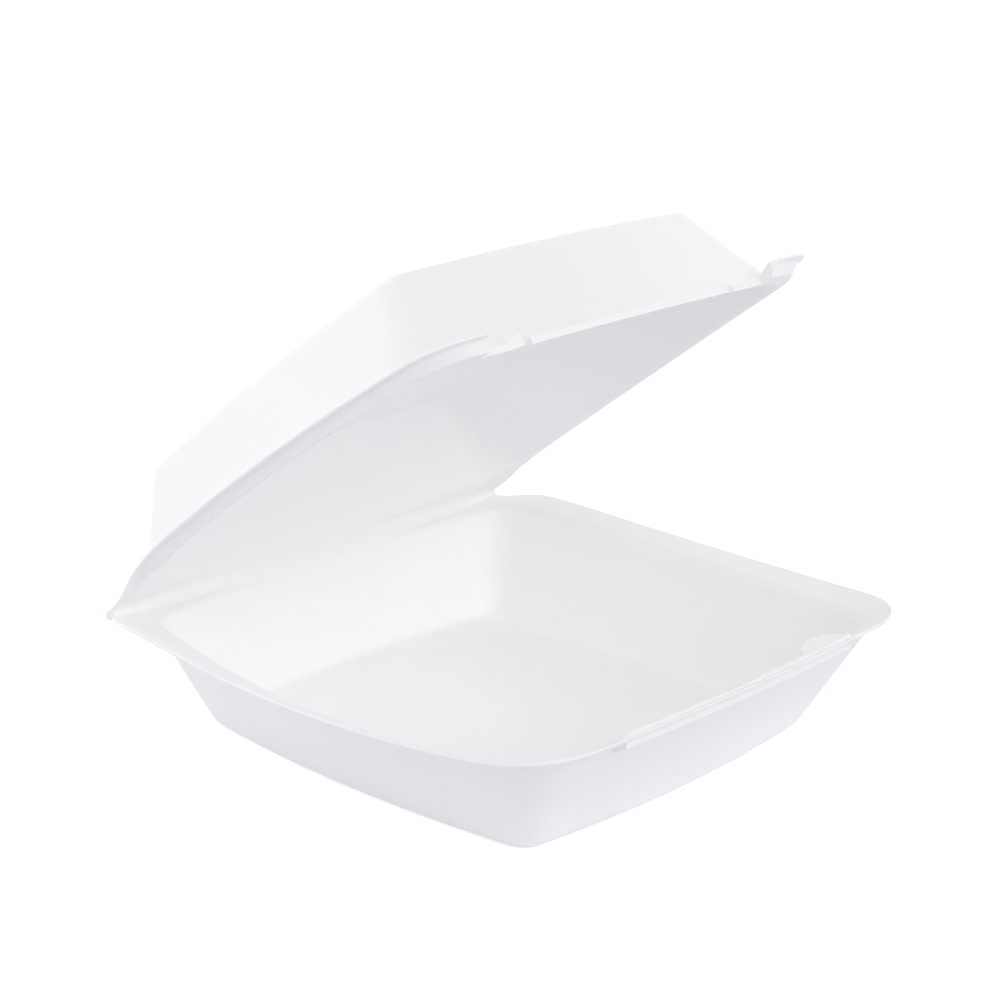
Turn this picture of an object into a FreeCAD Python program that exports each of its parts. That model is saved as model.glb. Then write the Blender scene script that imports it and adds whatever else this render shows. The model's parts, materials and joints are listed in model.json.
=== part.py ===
# Hinged foam food container: one sheet of foam formed into a tray and a lid that fold together.
# Millimetres, +Z up. The origin is under the middle of the tray's base, and the hinge is at the back (+Y).
# The lid is laid out closed, over the tray, and its Placement then turns it open about the hinge.
import FreeCAD, Part
import Sketcher
import math
import os

Vector = FreeCAD.Vector
RING_STEPS = 8
ROUNDING_LIMIT = 0.45
doc = FreeCAD.newDocument("foam_container")

# ---------------------------------------------------------------- driving sizes
SIZES = {
    # overall: half the width, reach of the rim in front, reach of the hinge behind, height of the rim
    "rim_half": 114.8, "rim_front": 113.0, "hinge_depth": 104.0, "rim_height": 49.4, "lid_depth": 42.0,
    # foam sheet, as formed
    "lip_thick": 1.5, "crease_depth": 1.6, "crease_grow": 1.4, "floor_thick": 2.4, "base_step": 1.1,
    # hinge: a pressed fold, a round bead on the line where the two flanges meet
    "hinge_inset": 12.3, "hinge_drop": 5.9, "hinge_drop_run": 17.0, "bead_radius": 1.8, "fold_gap": 0.35,
    "open_angle": 36.7,
    # tray rim, the outer edge of the flange: its outline, then its rise and fall from hinge to front
    "rim_side_bow": 587.0, "rim_front_bow": 1096.0, "rim_widest": 9.3, "rim_corner": 32.0,
    "taper_run": 26.0, "taper_lead": 9.0, "taper_share": 0.42, "rim_dip": 5.6, "rim_front_drop": 1.2,
    # mouth, the crease between flange and inside wall
    "flange_side": 10.7, "mouth_side_bow": 397.0, "mouth_back_bow": 430.0, "mouth_corner": 17.0,
    "mouth_round": 2.5,
    "tray_flange_front": 9.5, "tray_flange_back": 3.0, "tray_mouth_bow": 900.0,
    "tray_mouth_drop": 2.5, "front_mouth_drop": 2.7,
    "lid_flange_front": 17.8, "lid_flange_back": 6.0, "lid_mouth_bow": 621.0, "lid_mouth_rise": 1.9,
    # tray base, set in from the mouth at the sides and from the rim and hinge at the ends
    "base_side": 22.7, "base_front": 29.0, "base_back": 18.0, "base_side_bow": 551.0,
    "base_end_bow": 497.0, "base_corner": 9.0, "base_round": 8.0, "floor_round": 5.0, "wall_turn": 60.0,
    # lid top, set in likewise
    "top_side": 21.4, "top_front": 31.7, "top_back": 19.5, "top_side_bow": 430.0, "top_end_bow": 850.0,
    "top_corner": 8.5, "top_round": 6.0, "ceiling_round": 4.0,
    # lid flange: the ridge that bears on the tray, then a riser and a lip turned outwards
    "ridge_inset": 8.6, "ridge_front_inset": 10.6, "ridge_corner": 22.0, "ridge_rise": 1.6,
    "lip_inset": 4.4, "lip_width": 2.6, "lip_rise": 3.7, "lip_corner": 18.0, "lip_round": 1.0,
    "riser_thick": 1.5, "lip_fade_start": 6.0, "lip_fade_end": 42.0, "fold_share": 0.4,
    "lid_arch": 2.6, "lid_front_drop": 0.8,
    # lid front: a narrow lip with a notch near each end, between the ears in which the wide flange ends
    "ear_end": 73.5, "front_lip": 16.9, "front_lip_bow": 948.0, "notch_start": 49.5, "notch_end": 57.0,
    "notch_inset": 19.8, "side_lip": 17.8, "cut_reach": 32.0,
    # tray front: the wall steps out under the rim between the corners
    "step_half": 62.0, "step_inset": 2.4, "step_top": 1.4, "step_foot": 6.9,
    "step_root": 10.2, "step_root_foot": 11.3, "step_wall": 1.7, "step_wall_rise": 1.05,
    # catches, two half-round tongues behind the front rim
    "catch_middle": 47.0, "catch_inset": 3.0, "catch_reach": 12.4, "catch_radius": 16.7,
    "catch_thick": 2.2, "catch_draft": 20.0,
}
sheet = doc.addObject("Spreadsheet::Sheet", "sizes")
for row, (alias, value) in enumerate(SIZES.items(), start=1):
    sheet.set(f"A{row}", alias)
    sheet.set(f"B{row}", str(value))
    sheet.setAlias(f"B{row}", alias)
doc.recompute()


def size(alias):
    return float(sheet.get(alias))


def amount(terms):
    """The value of a sum of named sizes, such as "-rim_front +step_inset"."""
    return sum(size(term[1:]) * (-1 if term[0] == "-" else 1) for term in terms.split())


def bound(terms):
    """The same sum as an expression that reads the sheet."""
    return terms.replace("-", "-sizes.").replace("+", "+sizes.")


HINGE_HALF = "+rim_half -hinge_inset"
HINGE_HEIGHT = "+rim_height -hinge_drop"


# ---------------------------------------------------------------- bowed outlines, seen from above
def circle_crossing(centre_a, radius_a, centre_b, radius_b, towards):
    apart = centre_b - centre_a
    along = (radius_a**2 - radius_b**2 + apart.Length**2) / (2 * apart.Length)
    across = math.sqrt(radius_a**2 - along**2)
    unit = Vector(apart).normalize()
    side = Vector(-unit.y, unit.x, 0)
    crossings = [centre_a + unit * along + side * across, centre_a + unit * along - side * across]
    return max(crossings, key=lambda point: point.dot(towards))


def point_towards(centre, target, radius):
    return centre + (target - centre).normalize() * radius


def mirrored(point):
    return Vector(-point.x, point.y, point.z)


def corner_arc(centre_a, radius_a, centre_b, radius_b, corner, towards):
    """Start, middle and end of the corner that runs smoothly from bowed edge a into bowed edge b."""
    centre = circle_crossing(centre_a, radius_a - corner, centre_b, radius_b - corner, towards)
    start = point_towards(centre_a, centre, radius_a)
    end = point_towards(centre_b, centre, radius_b)
    return start, point_towards(centre, (start + end) * 0.5, corner), end


def arc_middle(centre, radius, start, end):
    return point_towards(centre, (start + end) * 0.5, radius)


def bowed_outline(half, front, back, side_bow, front_bow, back_bow, corner, grow=0.0):
    """Right-hand edges of a rectangle with bowed sides and round corners, as arcs from front to back."""
    side = Vector(half - side_bow, 0, 0)
    front_centre = Vector(0, front_bow - front, 0)
    back_centre = Vector(0, back - back_bow, 0)
    front_end, front_mid, side_start = corner_arc(
        front_centre, front_bow + grow, side, side_bow + grow, corner + grow, Vector(1, -1, 0))
    side_end, back_mid, back_start = corner_arc(
        side, side_bow + grow, back_centre, back_bow + grow, corner + grow, Vector(1, 1, 0))
    side_mid = arc_middle(side, side_bow + grow, side_start, side_end)
    return [
        Part.Arc(mirrored(front_end), Vector(0, -front - grow, 0), front_end),
        Part.Arc(front_end, front_mid, side_start),
        Part.Arc(side_start, side_mid, side_end),
        Part.Arc(side_end, back_mid, back_start),
        Part.Arc(back_start, Vector(0, back + grow, 0), mirrored(back_start)),
    ]


def rim_outline(inset, front_inset, off_fold, corner):
    """Like bowed_outline, with the back a straight fold and the flange tapering in to the fold's ends."""
    bow = size("rim_side_bow") - inset
    front_bow = size("rim_front_bow") - front_inset
    side = Vector(amount("+rim_half -rim_side_bow"), size("rim_widest"), 0)
    front_centre = Vector(0, amount("+rim_front_bow -rim_front"), 0)
    front_end, front_mid, side_start = corner_arc(
        front_centre, front_bow, side, bow, corner, Vector(1, -1, 0))
    rise = amount("+hinge_depth -taper_run -rim_widest")
    side_end = side + Vector(math.sqrt(bow**2 - rise**2), rise, 0)
    lead = Vector(-rise / bow, 1, 0) * size("taper_lead")
    fold_end = Vector(amount(HINGE_HALF) - off_fold, size("hinge_depth") - off_fold, 0)
    taper = Part.BezierCurve()
    taper.setPoles([
        side_end, side_end + lead, fold_end + (side_end - fold_end) * size("taper_share"), fold_end])
    return [
        Part.Arc(mirrored(front_end), Vector(0, front_inset - size("rim_front"), 0), front_end),
        Part.Arc(front_end, front_mid, side_start),
        Part.Arc(side_start, arc_middle(side, bow, side_start, side_end), side_end),
        taper,
        Part.LineSegment(fold_end, mirrored(fold_end)),
    ]


def ring(curves, height):
    """Points of a whole outline in eight stretches, each point lifted to height(y)."""
    stretches = []
    for number, curve in enumerate(curves + curves[3:0:-1]):
        first, last = curve.FirstParameter, curve.LastParameter
        points = [curve.value(first + (last - first) * step / RING_STEPS) for step in range(RING_STEPS + 1)]
        if number >= len(curves):
            points = [mirrored(point) for point in reversed(points)]
        stretches.append([Vector(point.x, point.y, height(point.y)) for point in points])
    return stretches


def moved_towards(ring_from, ring_to, length):
    """Each point of one ring moved by length along the straight way to the other, short of its middle."""
    moved = []
    for stretch, target in zip(ring_from, ring_to):
        moved.append([])
        for point, aim in zip(stretch, target):
            way = aim - point
            moved[-1].append(point + way * min(length / way.Length, ROUNDING_LIMIT))
    return moved


def curve_through(points):
    curve = Part.BSplineCurve()
    curve.interpolate(Points=points, Parameters=[step / RING_STEPS for step in range(RING_STEPS + 1)])
    return curve


def patch(rows):
    """A face whose rows are curves along the ring. Two rows make it straight across, more make a bend."""
    curves = [curve_through(points) for points in rows]
    poles = [list(column) for column in zip(*[curve.getPoles() for curve in curves])]
    surface = Part.BSplineSurface()
    surface.buildFromPolesMultsKnots(
        poles, curves[0].getMultiplicities(), [len(rows), len(rows)], curves[0].getKnots(), [0, 1],
        False, False, curves[0].Degree, len(rows) - 1)
    return surface.toShape()


def band(rings):
    return [patch(rows) for rows in zip(*rings)]


def flat_face(stretches):
    return Part.Face(Part.Wire([curve_through(points).toShape() for points in stretches]))


def formed_solid(name, outside, profile, inside):
    """A closed sheet, from the edge of its flat outside face, along the profile, to its flat inside face.

    Each step of the profile is (rounding, ring) for a bend, or (rounding, ring, ring) for a rounded lip.
    """
    faces = [flat_face(outside), flat_face(inside)]
    leaving = None
    for number, (rounding, *corner) in enumerate(profile):
        arriving = moved_towards(corner[0], profile[number - 1][-1], rounding) if number else outside
        if leaving:
            faces += band([leaving, arriving])
        last = number == len(profile) - 1
        leaving = inside if last else moved_towards(corner[-1], profile[number + 1][1], rounding)
        faces += band([arriving, *corner, leaving])
    shell = Part.Shell(faces)
    shell.sewShape()
    solid = Part.Solid(shell)
    if solid.Volume < 0:
        solid.reverse()
    blank = doc.addObject("Part::Feature", name)
    blank.Shape = solid
    return blank


# ---------------------------------------------------------------- heights along the container
def from_hinge(y):
    """0 at the hinge and behind it, 1 at the front of the rim."""
    return min(max((size("hinge_depth") - y) / amount("+hinge_depth +rim_front"), 0), 1)


def arch(y):
    """0 at the hinge and at the front, 1 half-way."""
    return 4 * from_hinge(y) * (1 - from_hinge(y))


def smooth_step(value, start, end):
    """0 before start and 1 past end, rising smoothly between them."""
    share = min(max((value - start) / (end - start), 0), 1)
    return share * share * (3 - 2 * share)


def tray_rim(y):
    """The rim sags between hinge and front, and drops steeply at the hinge."""
    hinge_share = math.exp(-((size("hinge_depth") - y) / size("hinge_drop_run"))**2)
    sag = size("rim_dip") * arch(y) + size("rim_front_drop") * from_hinge(y)
    return size("rim_height") - sag - size("hinge_drop") * hinge_share


def tray_mouth(y):
    """The crease lies deeper below the rim towards the front."""
    front_share = smooth_step(from_hinge(y), 0, 1)
    return tray_rim(y) - size("tray_mouth_drop") - size("front_mouth_drop") * front_share


def lid_base(y):
    return amount(HINGE_HEIGHT) + size("lid_arch") * arch(y) - size("lid_front_drop") * from_hinge(y)


def lid_crease(y):
    return lid_base(y) + size("lid_mouth_rise")


def lip_fade(y):
    """1 along the sides and front, falling smoothly to 0 at the hinge."""
    return smooth_step(size("hinge_depth") - y, size("lip_fade_start"), size("lip_fade_end"))


def lid_ridge(y):
    return lid_base(y) + size("fold_gap") + amount("+ridge_rise -fold_gap") * lip_fade(y)


def lid_lip(y):
    lip_rise = size("lip_rise") + size("lid_front_drop") * from_hinge(y)
    return lid_ridge(y) + size("lip_thick") + lip_rise * lip_fade(y)


# ---------------------------------------------------------------- bodies and features
def body_from(name, blank):
    body = doc.addObject("PartDesign::Body", name)
    body.Label = name
    body.BaseFeature = blank
    doc.recompute()
    return body


def sketch_on(body, role, name):
    sketch = body.newObject("Sketcher::SketchObject", name)
    plane = next(feature for feature in body.Origin.OriginFeatures if feature.Role == role)
    sketch.AttachmentSupport = [(plane, "")]
    sketch.MapMode = "FlatFace"
    return sketch


def constrain(sketch, terms, kind, *where):
    number = sketch.addConstraint(Sketcher.Constraint(kind, *where, amount(terms)))
    sketch.setExpression(f"Constraints[{number}]", bound(terms))


def pin(sketch, geometry, end, across, along):
    """Holds one point of a sketch at two distances from the origin, each a sum of named sizes."""
    constrain(sketch, across, "DistanceX", -1, 1, geometry, end)
    constrain(sketch, along, "DistanceY", -1, 1, geometry, end)


def join(sketch, before, after):
    sketch.addConstraint(Sketcher.Constraint("Coincident", before, 2, after, 1))


def chain(sketch, corners):
    """Straight edges from corner to corner, each pinned where it starts. Gives the first and last edge."""
    points = [Vector(amount(across), amount(along), 0) for across, along in corners]
    first = sketch.GeometryCount
    for number, (start, end) in enumerate(zip(points, points[1:]), start=first):
        sketch.addGeometry(Part.LineSegment(start, end))
        pin(sketch, number, 1, *corners[number - first])
        if number > first:
            join(sketch, number - 1, number)
    return first, first + len(corners) - 2


def closed_chain(sketch, corners):
    first, last = chain(sketch, corners + corners[:1])
    join(sketch, last, first)


def swapped(corner):
    """The corner's mirror image on the left-hand side."""
    across, along = corner
    return across.translate(str.maketrans("+-", "-+")), along


def hinge_circle(body, name, radius):
    sketch = sketch_on(body, "YZ_Plane", name)
    centre = Vector(size("hinge_depth"), amount(HINGE_HEIGHT), 0)
    sketch.addGeometry(Part.Circle(centre, Vector(0, 0, 1), amount(radius)))
    pin(sketch, 0, 3, "+hinge_depth", HINGE_HEIGHT)
    constrain(sketch, radius, "Radius", 0)
    return sketch


def feature(body, kind, name, sketch, **settings):
    """Adds a feature to the body. A setting that starts with = is an expression."""
    made = body.newObject(f"PartDesign::{kind}", name)
    made.Profile = sketch
    for key, setting in settings.items():
        if isinstance(setting, str) and setting.startswith("="):
            made.setExpression(key, setting[1:])
        else:
            setattr(made, key, setting)
    body.Tip = made
    doc.recompute()
    return made


# ---------------------------------------------------------------- tray
def mouth(part, grow=0.0):
    return bowed_outline(
        amount("+rim_half -flange_side"), amount(f"+rim_front -{part}_flange_front"),
        amount(f"+hinge_depth -{part}_flange_back"), size("mouth_side_bow"),
        size(f"{part}_mouth_bow"), size("mouth_back_bow"), size("mouth_corner"), grow)


def inner_end(end, grow=0.0):
    """The flat end that the walls lead to: the base of the tray or the top of the lid."""
    return bowed_outline(
        amount(f"+rim_half -flange_side -{end}_side"), amount(f"+rim_front -{end}_front"),
        amount(f"+hinge_depth -{end}_back"), size(f"{end}_side_bow"),
        size(f"{end}_end_bow"), size(f"{end}_end_bow"), size(f"{end}_corner"), grow)


def flat(height):
    return lambda y: height


def tangent_length(alias):
    """From the corner of a wall and a floor to where their rounding starts."""
    return size(alias) * math.tan(math.radians(size("wall_turn") / 2))


rim = rim_outline(0, 0, 0, size("rim_corner"))
floor = flat(size("floor_thick"))
tray_blank = formed_solid(
    "tray_blank",
    ring(inner_end("base", -tangent_length("base_round")), flat(0)),
    [
        (tangent_length("base_round"), ring(inner_end("base"), flat(0))),
        (size("mouth_round"),
         ring(mouth("tray", size("crease_grow")), lambda y: tray_mouth(y) - size("crease_depth"))),
        (size("lip_thick"), ring(rim, lambda y: tray_rim(y) - size("lip_thick")), ring(rim, tray_rim)),
        (size("mouth_round"), ring(mouth("tray"), tray_mouth)),
        (tangent_length("floor_round"), ring(inner_end("base", -size("base_step")), floor)),
    ],
    ring(inner_end("base", -size("base_step") - tangent_length("floor_round")), floor))
tray = body_from("tray", tray_blank)
feature(tray, "Pad", "hinge_bead", hinge_circle(tray, "bead_circle", "+bead_radius"),
        Midplane=True, Length=f"=2 * ({bound(HINGE_HALF)})")


def turned_round_front(name, kind, corners):
    """A profile swept along the bow of the rim's front edge, over the middle of the front."""
    sketch = sketch_on(tray, "YZ_Plane", f"{name}_profile")
    closed_chain(sketch, corners)
    axis = sketch.GeometryCount
    foot = Vector(amount("+rim_front_bow -rim_front"), 0, 0)
    sketch.addGeometry(Part.LineSegment(foot, foot + Vector(0, size("rim_height"), 0)), True)
    constrain(sketch, "+rim_front_bow -rim_front", "DistanceX", -1, 1, axis, 1)
    constrain(sketch, "+rim_height", "DistanceY", axis, 1, axis, 2)
    sketch.addConstraint(Sketcher.Constraint("PointOnObject", axis, 1, -1))
    sketch.addConstraint(Sketcher.Constraint("Vertical", axis))
    feature(tray, kind, name, sketch, ReferenceAxis=(sketch, ["Axis0"]), Midplane=True,
            Angle="=2 * asin(sizes.step_half / sizes.rim_front_bow)")


turned_round_front("front_step", "Revolution", [
    ("-rim_front +step_inset", "+rim_height -step_top"),
    ("-rim_front +step_inset", "+rim_height -step_foot"),
    ("-rim_front +step_root", "+rim_height -step_root_foot"),
    ("-rim_front +step_root", "+rim_height -step_top"),
])
turned_round_front("front_recess", "Groove", [
    ("-rim_front +step_inset +step_wall", "+rim_height +lip_thick"),
    ("-rim_front +step_inset +step_wall", "+rim_height -step_foot +step_wall_rise"),
    ("-rim_front +step_root +step_wall", "+rim_height -step_root_foot +step_wall_rise"),
    ("-rim_front +step_root +step_wall +step_wall", "+rim_height +lip_thick"),
])

catch_sketch = sketch_on(tray, "XY_Plane", "catch_outlines")
catch_sketch.setExpression("AttachmentOffset.Base.z", bound("+rim_height -step_top -catch_thick"))
chord_offset = amount("+catch_reach -catch_inset -catch_radius")
half_chord = Vector(math.sqrt(size("catch_radius")**2 - chord_offset**2), 0, 0)
for hand, side in ((1, "+"), (-1, "-")):
    chord_middle = Vector(hand * size("catch_middle"), amount("-rim_front +catch_inset"), 0)
    tip = chord_middle + Vector(0, amount("+catch_reach -catch_inset"), 0)
    ends = chord_middle + half_chord, chord_middle - half_chord
    arc = catch_sketch.addGeometry(Part.Arc(ends[0], tip, ends[1]))
    chord = catch_sketch.addGeometry(Part.LineSegment(ends[1], ends[0]))
    pin(catch_sketch, arc, 3, f"{side}catch_middle", "-rim_front +catch_reach -catch_radius")
    constrain(catch_sketch, "+catch_radius", "Radius", arc)
    join(catch_sketch, arc, chord)
    join(catch_sketch, chord, arc)
    catch_sketch.addConstraint(Sketcher.Constraint("Horizontal", chord))
    constrain(catch_sketch, "-rim_front +catch_inset", "DistanceY", -1, 1, chord, 1)
feature(tray, "Pad", "catches", catch_sketch, Length="=sizes.catch_thick", TaperAngle="=-sizes.catch_draft")


# ---------------------------------------------------------------- lid, laid out closed over the tray
def lid_outline(inset, front_inset=None, corner=None):
    """Outlines on the lid's flange draw together towards the fold."""
    front_inset = inset if front_inset is None else front_inset
    corner = amount("+lip_corner +lip_inset") - inset if corner is None else corner
    off_fold = size("fold_gap") + size("fold_share") * (inset - size("lip_inset"))
    return rim_outline(inset, front_inset, off_fold, corner)


def under_lip(y):
    return lid_lip(y) - size("lip_thick")


top_height = amount(HINGE_HEIGHT) + size("lid_depth")
ceiling = flat(top_height - size("floor_thick"))
lip_edge = lid_outline(size("lip_inset"))
riser_outside = lid_outline(amount("+lip_inset +lip_width"))
riser_inside = lid_outline(amount("+lip_inset +lip_width +riser_thick"))
ridge = lid_outline(size("ridge_inset"), size("ridge_front_inset"), size("ridge_corner"))
lid_blank = formed_solid(
    "lid_blank",
    ring(inner_end("top", -tangent_length("top_round")), flat(top_height)),
    [
        (tangent_length("top_round"), ring(inner_end("top"), flat(top_height))),
        (size("mouth_round"),
         ring(mouth("lid", size("crease_grow")), lambda y: lid_crease(y) + size("crease_depth"))),
        (size("lip_round"), ring(riser_inside, lid_lip)),
        (size("lip_thick"), ring(lip_edge, lid_lip), ring(lip_edge, under_lip)),
        (size("lip_round"), ring(riser_outside, under_lip)),
        (size("lip_round"), ring(ridge, lid_ridge)),
        (size("mouth_round"), ring(mouth("lid"), lid_crease)),
        (tangent_length("ceiling_round"), ring(inner_end("top", -size("base_step")), ceiling)),
    ],
    ring(inner_end("top", -size("base_step") - tangent_length("ceiling_round")), ceiling))
lid = body_from("lid", lid_blank)
feature(lid, "Pocket", "hinge_groove", hinge_circle(lid, "groove_circle", "+bead_radius +fold_gap"),
        Midplane=True, Length="=2 * sizes.rim_half")

# the front flange is cut back to a narrow lip between the two ears
cut_sketch = sketch_on(lid, "XY_Plane", "front_cut_outline")
right_corners = [
    ("+notch_start", "-rim_front +front_lip"),
    ("+notch_start", "-rim_front +notch_inset"),
    ("+notch_end", "-rim_front +notch_inset"),
    ("+notch_end", "-rim_front +side_lip"),
    ("+ear_end", "-rim_front +side_lip"),
    ("+ear_end", "-rim_front +ridge_front_inset"),
    ("+ear_end +cut_reach", "-rim_front +ridge_front_inset -cut_reach"),
]
first, last = chain(cut_sketch, right_corners + [swapped(corner) for corner in reversed(right_corners)])
lip_end = Vector(size("notch_start"), amount("-rim_front +front_lip"), 0)
lip_bow = size("front_lip_bow") - math.sqrt(size("front_lip_bow")**2 - lip_end.x**2)
lip_arc = cut_sketch.addGeometry(Part.Arc(mirrored(lip_end), Vector(0, lip_end.y - lip_bow, 0), lip_end))
join(cut_sketch, last, lip_arc)
join(cut_sketch, lip_arc, first)
constrain(cut_sketch, "+front_lip_bow", "Radius", lip_arc)
feature(lid, "Pocket", "front_cut", cut_sketch, Midplane=True, Type="ThroughAll")
lid.Placement = FreeCAD.Placement(
    Vector(), FreeCAD.Rotation(Vector(-1, 0, 0), size("open_angle")),
    Vector(0, size("hinge_depth"), amount(HINGE_HEIGHT)))

# ---------------------------------------------------------------- check and write
doc.recompute()
for item in doc.Objects:
    if "Invalid" in item.State or "Error" in item.State:
        raise RuntimeError(f"{item.Name} did not build: {item.State}")
os.makedirs("parts", exist_ok=True)
for body in (tray, lid):
    if body.Shape.isNull() or not body.Shape.isValid():
        raise RuntimeError(f"{body.Label} is not a valid solid")
    body.Shape.exportStep(f"parts/{body.Label}.step")
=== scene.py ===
import bpy
import json
import math
from mathutils import Matrix, Vector


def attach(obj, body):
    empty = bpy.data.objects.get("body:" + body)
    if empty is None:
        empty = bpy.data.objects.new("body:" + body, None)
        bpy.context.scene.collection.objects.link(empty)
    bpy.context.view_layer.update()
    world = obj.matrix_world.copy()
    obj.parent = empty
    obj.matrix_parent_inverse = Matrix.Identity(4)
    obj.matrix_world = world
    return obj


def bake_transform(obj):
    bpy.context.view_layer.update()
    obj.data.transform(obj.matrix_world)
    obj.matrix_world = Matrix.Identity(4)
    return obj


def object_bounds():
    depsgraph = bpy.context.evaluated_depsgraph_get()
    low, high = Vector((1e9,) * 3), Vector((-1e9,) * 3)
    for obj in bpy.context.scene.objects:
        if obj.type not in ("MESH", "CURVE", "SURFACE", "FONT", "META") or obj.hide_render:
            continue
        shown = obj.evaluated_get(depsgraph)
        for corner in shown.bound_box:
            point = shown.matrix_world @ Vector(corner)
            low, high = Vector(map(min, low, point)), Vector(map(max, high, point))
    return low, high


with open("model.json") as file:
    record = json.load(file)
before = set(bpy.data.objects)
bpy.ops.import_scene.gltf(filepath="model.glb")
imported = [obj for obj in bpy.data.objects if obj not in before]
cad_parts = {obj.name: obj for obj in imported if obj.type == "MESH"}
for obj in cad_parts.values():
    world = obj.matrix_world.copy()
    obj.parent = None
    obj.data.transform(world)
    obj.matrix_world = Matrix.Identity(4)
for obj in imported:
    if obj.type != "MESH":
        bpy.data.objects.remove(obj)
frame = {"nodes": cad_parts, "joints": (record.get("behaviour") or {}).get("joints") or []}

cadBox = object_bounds()
tray = frame["nodes"]["tray"]
lid = frame["nodes"]["lid"]
hinge = Vector(frame["joints"][0]["pos_m"])
white = (1, 1, 1, 1)
bpy.ops.object.select_all(action="DESELECT")

# camera, low and from the front left corner
print("stage: camera")
cameraSet = {
    "azimuth": -47.06, "elevation": 18.45, "roll": 0.39, "distance": 0.9044,
    "aim": (0.0054, 0.0114, 0.0759), "lens": 88.7, "shift": (0.0039, 0.0202), "sees": 20,
}


def wayTo(azimuth, elevation):
    # the direction from the object; azimuth 0 is straight in front of it
    turn = math.radians(azimuth)
    rise = math.radians(elevation)
    return Vector((math.sin(turn) * math.cos(rise), -math.cos(turn) * math.cos(rise), math.sin(rise)))


def placeCamera(settings):
    back = wayTo(settings["azimuth"], settings["elevation"])
    facing = back.to_track_quat("Z", "Y").to_matrix().to_4x4()
    facing = facing @ Matrix.Rotation(math.radians(settings["roll"]), 4, "Z")
    place = Matrix.Translation(Vector(settings["aim"]) + back * settings["distance"])
    bpy.ops.object.camera_add()
    camera = bpy.context.object
    camera.matrix_world = place @ facing
    camera.data.lens = settings["lens"]
    camera.data.shift_x, camera.data.shift_y = settings["shift"]
    camera.data.clip_end = settings["sees"]
    bpy.context.scene.camera = camera


placeCamera(cameraSet)

# light: a dim room and a few wide soft lamps
print("stage: light and floor")
lightSet = {
    "room": 0.04, "away": 2.0, "bounces": 12,  # light goes round a white bowl many times
    "lamps": {  # azimuth, elevation, width in degrees, strength
        "backRightLamp": (165, 30, 60, 0.86),
        "backLeftLamp": (-165, 30, 60, 0.38),
        "leftLowLamp": (-140, 8, 60, 1.22),
        "leftLamp": (-75, 30, 60, 0.48),
        "frontLamp": (-30, 30, 60, 0.51),
        "topLamp": (-30, 60, 60, 0.53),
        "frontRightLamp": (15, 30, 60, 1.13),
        "rightLowLamp": (100, 8, 60, 1.19),
    },
}


def addLamp(name, azimuth, elevation, width, strength):
    towards = wayTo(azimuth, elevation)
    bpy.ops.object.light_add(type="SUN", location=towards * lightSet["away"])
    lamp = bpy.context.object
    lamp.name = name
    lamp.rotation_euler = towards.to_track_quat("Z", "Y").to_euler()
    lamp.data.angle = math.radians(width)
    lamp.data.energy = strength


for lampName, lampValues in lightSet["lamps"].items():
    addLamp(lampName, *lampValues)


def seenOrMirrored(nodes, links):
    # 1 where the camera looks, straight or by way of something shiny or clear, and 0 for other light
    path = nodes.new("ShaderNodeLightPath")
    seen = path.outputs["Is Camera Ray"]
    for ray in ("Is Glossy Ray", "Is Transmission Ray"):
        either = nodes.new("ShaderNodeMath")
        either.operation = "MAXIMUM"
        links.new(seen, either.inputs[0])
        links.new(path.outputs[ray], either.inputs[1])
        seen = either.outputs[0]
    return seen


def whiteRoom(strength):
    # the room lights the object at its own level and shows as plain white
    world = bpy.data.worlds.new("room")
    bpy.context.scene.world = world
    world.use_nodes = True
    nodes, links = world.node_tree.nodes, world.node_tree.links
    background = nodes["Background"]
    background.inputs["Color"].default_value = white
    level = nodes.new("ShaderNodeMapRange")
    level.inputs["To Min"].default_value = strength
    level.inputs["To Max"].default_value = 1.0
    links.new(seenOrMirrored(nodes, links), level.inputs["Value"])
    links.new(level.outputs["Result"], background.inputs["Strength"])


whiteRoom(lightSet["room"])

floorSet = {"size": 12.0, "colour": (0.786, 0.798, 0.822, 1), "roughness": 0.9, "white": 0.5}


def layFloor(settings):
    low, high = cadBox
    bpy.ops.mesh.primitive_plane_add(size=settings["size"], location=(0, 0, low[2]))
    floor = bpy.context.object
    floor.name = "floor"
    material = bpy.data.materials.new("paleFloor")
    material.use_nodes = True
    nodes, links = material.node_tree.nodes, material.node_tree.links
    shader = nodes["Principled BSDF"]
    shader.inputs["Base Color"].default_value = settings["colour"]
    shader.inputs["Roughness"].default_value = settings["roughness"]
    level = nodes.new("ShaderNodeMath")
    level.operation = "MULTIPLY"
    level.inputs[1].default_value = settings["white"]
    links.new(seenOrMirrored(nodes, links), level.inputs[0])
    shader.inputs["Emission Color"].default_value = white
    links.new(level.outputs[0], shader.inputs["Emission Strength"])
    floor.data.materials.append(material)


layFloor(floorSet)

# foam: white closed-cell sheet with a smooth skin
print("stage: materials")
skinSet = {
    "cells": 900.0, "cellSoftness": 0.6, "cellShare": 0.35,
    "waves": 45.0, "waveDetail": 4.0, "waveRoughness": 0.55,
}


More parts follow.
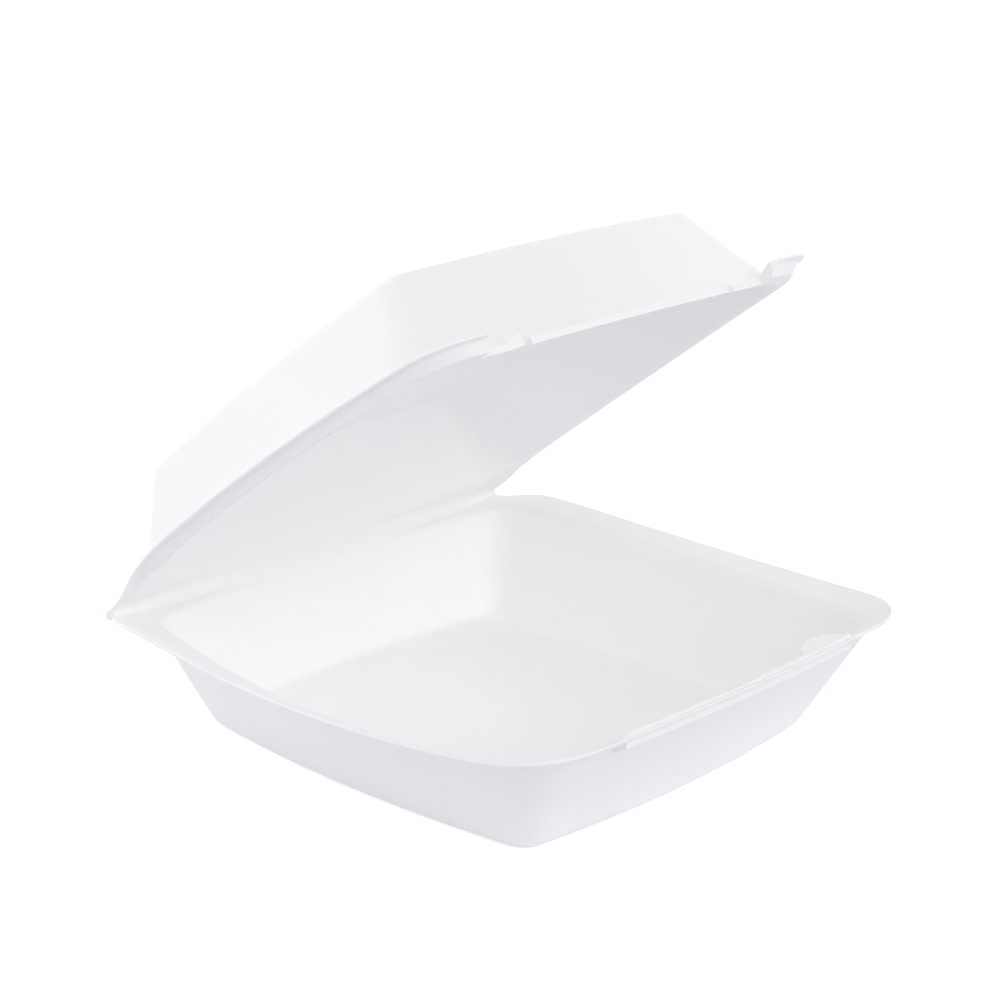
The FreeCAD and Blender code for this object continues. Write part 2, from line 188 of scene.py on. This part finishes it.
def skinGroup(settings):
    # faint cells and slow waves of a formed foam skin
    group = bpy.data.node_groups.new("foamSkin", "ShaderNodeTree")
    for name, size in (("Cell Scale", settings["cells"]), ("Wave Scale", settings["waves"])):
        socket = group.interface.new_socket(name=name, in_out="INPUT", socket_type="NodeSocketFloat")
        socket.default_value = size
    for name in ("Height", "Mottle"):
        group.interface.new_socket(name=name, in_out="OUTPUT", socket_type="NodeSocketFloat")
    nodes, links = group.nodes, group.links
    entry = nodes.new("NodeGroupInput")
    leave = nodes.new("NodeGroupOutput")
    place = nodes.new("ShaderNodeTexCoord")
    cells = nodes.new("ShaderNodeTexVoronoi")
    cells.feature = "SMOOTH_F1"
    cells.inputs["Smoothness"].default_value = settings["cellSoftness"]
    waves = nodes.new("ShaderNodeTexNoise")
    waves.inputs["Detail"].default_value = settings["waveDetail"]
    waves.inputs["Roughness"].default_value = settings["waveRoughness"]
    for texture, socket in ((cells, "Cell Scale"), (waves, "Wave Scale")):
        links.new(place.outputs["Object"], texture.inputs["Vector"])
        links.new(entry.outputs[socket], texture.inputs["Scale"])
    total = nodes.new("ShaderNodeMath")
    total.operation = "MULTIPLY_ADD"
    total.inputs[1].default_value = settings["cellShare"]
    links.new(cells.outputs["Distance"], total.inputs[0])
    links.new(waves.outputs["Fac"], total.inputs[2])
    links.new(total.outputs[0], leave.inputs["Height"])
    links.new(waves.outputs["Fac"], leave.inputs["Mottle"])
    return group


foamSet = {
    "light": (0.9475, 0.9485, 0.9525, 1), "deep": (0.937, 0.9385, 0.9455, 1),
    "specular": 0.35, "roughness": (0.42, 0.55), "bump": 0.12, "bumpDepth": 0.0004,
}


def foamMaterial(name, group, settings):
    material = bpy.data.materials.new(name)
    material.use_nodes = True
    nodes, links = material.node_tree.nodes, material.node_tree.links
    shader = nodes["Principled BSDF"]
    shader.inputs["Specular IOR Level"].default_value = settings["specular"]
    skin = nodes.new("ShaderNodeGroup")
    skin.node_tree = group
    colour = nodes.new("ShaderNodeMix")
    colour.data_type = "RGBA"
    colour.inputs["A"].default_value = settings["deep"]
    colour.inputs["B"].default_value = settings["light"]
    links.new(skin.outputs["Mottle"], colour.inputs["Factor"])
    links.new(colour.outputs["Result"], shader.inputs["Base Color"])
    gloss = nodes.new("ShaderNodeMapRange")
    gloss.inputs["To Min"].default_value, gloss.inputs["To Max"].default_value = settings["roughness"]
    links.new(skin.outputs["Mottle"], gloss.inputs["Value"])
    links.new(gloss.outputs["Result"], shader.inputs["Roughness"])
    bump = nodes.new("ShaderNodeBump")
    bump.inputs["Strength"].default_value = settings["bump"]
    bump.inputs["Distance"].default_value = settings["bumpDepth"]
    links.new(skin.outputs["Height"], bump.inputs["Height"])
    links.new(bump.outputs["Normal"], shader.inputs["Normal"])
    return material


foamSkin = skinGroup(skinSet)
trayFoam = foamMaterial("trayFoam", foamSkin, foamSet)
lidFoam = foamMaterial("lidFoam", foamSkin, foamSet)
for node, material in ((tray, trayFoam), (lid, lidFoam)):
    for place in node.material_slots:
        place.material = material

# fold: the pressed line where the sheet bends, with a bead behind and a smooth valley inside
print("stage: fold")
valleySet = {
    "half": 0.1021, "along": 240, "across": 24,  # half length, and faces each way
    "reach": 0.006, "endReach": 0.003, "endRun": 0.02,  # width about the hinge line, less near the ends
    "middle": 168, "step": 0.25, "widest": 120,  # degrees about the hinge line, in the search for the foam
    "even": 9, "pull": 1.1, "sink": 0.00012, "thick": 0.0003,
    "start": 192, "end": 126,  # degrees where the bend starts and ends
}


def circlePoint(along, reach, degrees):
    # a point at this reach from the hinge line, turned up from straight back
    turn = math.radians(degrees)
    return Vector((along, hinge.y + reach * math.cos(turn), hinge.z + reach * math.sin(turn)))


def skinPoint(node, along, reach, step, settings):
    # turns about the hinge line from the middle of the valley until the foam is met
    degrees = settings["middle"]
    while abs(degrees - settings["middle"]) < settings["widest"]:
        point = circlePoint(along, reach, degrees)
        found, place, normal, face = node.closest_point_on_mesh(point)
        if (point - place).dot(normal) < 0:
            break
        degrees += step
    return place, normal


def valleyStation(side, settings):
    # where the valley leaves the tray and where it meets the lid, each with its slope there
    along = side * settings["half"]
    run = min(1.0, (settings["half"] - abs(along)) / settings["endRun"])
    reach = settings["endReach"] + (settings["reach"] - settings["endReach"]) * run * run * (3 - 2 * run)
    low, lowNormal = skinPoint(tray, along, reach, settings["step"], settings)
    high, highNormal = skinPoint(lid, along, reach, -settings["step"], settings)
    length = (high - low).length * settings["pull"]
    lineWay = Vector((1, 0, 0))
    return (
        low - lowNormal * settings["sink"], lowNormal.cross(lineWay).normalized() * length,
        high - highNormal * settings["sink"], highNormal.cross(lineWay).normalized() * length,
    )


def foldValley(settings):
    bpy.ops.mesh.primitive_grid_add(x_subdivisions=settings["along"], y_subdivisions=settings["across"], size=2)
    valley = bpy.context.object
    valley.name = "foldValley"
    sides = sorted({round(vertex.co.x, 5) for vertex in valley.data.vertices})
    met = [valleyStation(side, settings) for side in sides]
    even = {}
    for place, side in enumerate(sides):  # each station is averaged with its neighbours
        near = min(settings["even"], place, len(sides) - 1 - place)
        group = met[place - near:place + near + 1]
        even[side] = [sum((row[k] for row in group), Vector()) / len(group) for k in range(4)]
    for vertex in valley.data.vertices:
        low, lowSlope, high, highSlope = even[round(vertex.co.x, 5)]
        share = (vertex.co.y + 1) / 2
        two, three = share ** 2, share ** 3
        vertex.co = (
            low * (2 * three - 3 * two + 1) + lowSlope * (three - 2 * two + share)
            + high * (3 * two - 2 * three) + highSlope * (three - two)
        )
    bpy.ops.object.shade_smooth()
    wall = valley.modifiers.new("wall", "SOLIDIFY")
    wall.thickness = settings["thick"]
    wall.offset = -1
    bpy.ops.object.modifier_apply(modifier="wall")
    return valley


valley = foldValley(valleySet)
valley.data.materials.append(trayFoam)
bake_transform(valley)

beadSet = {
    "radius": 0.00211, "half": 0.1026, "sides": 72,
    "round": 0.0011, "steps": 6, "rings": 3, "firstRing": 1.2,  # rings are counted in end rounds
}


def foldBead(settings):
    bpy.ops.mesh.primitive_cylinder_add(
        vertices=settings["sides"], radius=settings["radius"], depth=settings["half"] * 2,
        location=hinge, rotation=(0, math.pi / 2, 0),
    )
    bpy.ops.object.transform_apply(location=True, rotation=True, scale=True)
    bead = bpy.context.object
    bead.name = "foldBead"
    bpy.ops.object.mode_set(mode="EDIT")
    bpy.ops.mesh.select_mode(type="FACE")  # only the rims of the two ends are rounded
    bpy.ops.mesh.select_all(action="DESELECT")
    bpy.ops.object.mode_set(mode="OBJECT")
    for face in bead.data.polygons:
        face.select = len(face.vertices) == settings["sides"]
    bpy.ops.object.mode_set(mode="EDIT")
    bpy.ops.mesh.bevel(offset=settings["round"], segments=settings["steps"], affect="EDGES")
    for side in (-1, 1):  # rings beside each round end keep its curve off the long run
        for ring in range(settings["rings"]):
            reach = settings["half"] - settings["round"] * (settings["firstRing"] + ring)
            bpy.ops.mesh.select_all(action="SELECT")
            bpy.ops.mesh.bisect(plane_co=(side * reach, hinge.y, hinge.z), plane_no=(1, 0, 0))
    bpy.ops.object.mode_set(mode="OBJECT")
    bpy.ops.object.shade_smooth()
    return bead


bead = foldBead(beadSet)
bead.data.materials.append(trayFoam)
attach(bead, "tray")

print("stage: finish")
bpy.context.scene.view_settings.view_transform = "Standard"
bpy.context.scene.cycles.diffuse_bounces = lightSet["bounces"]
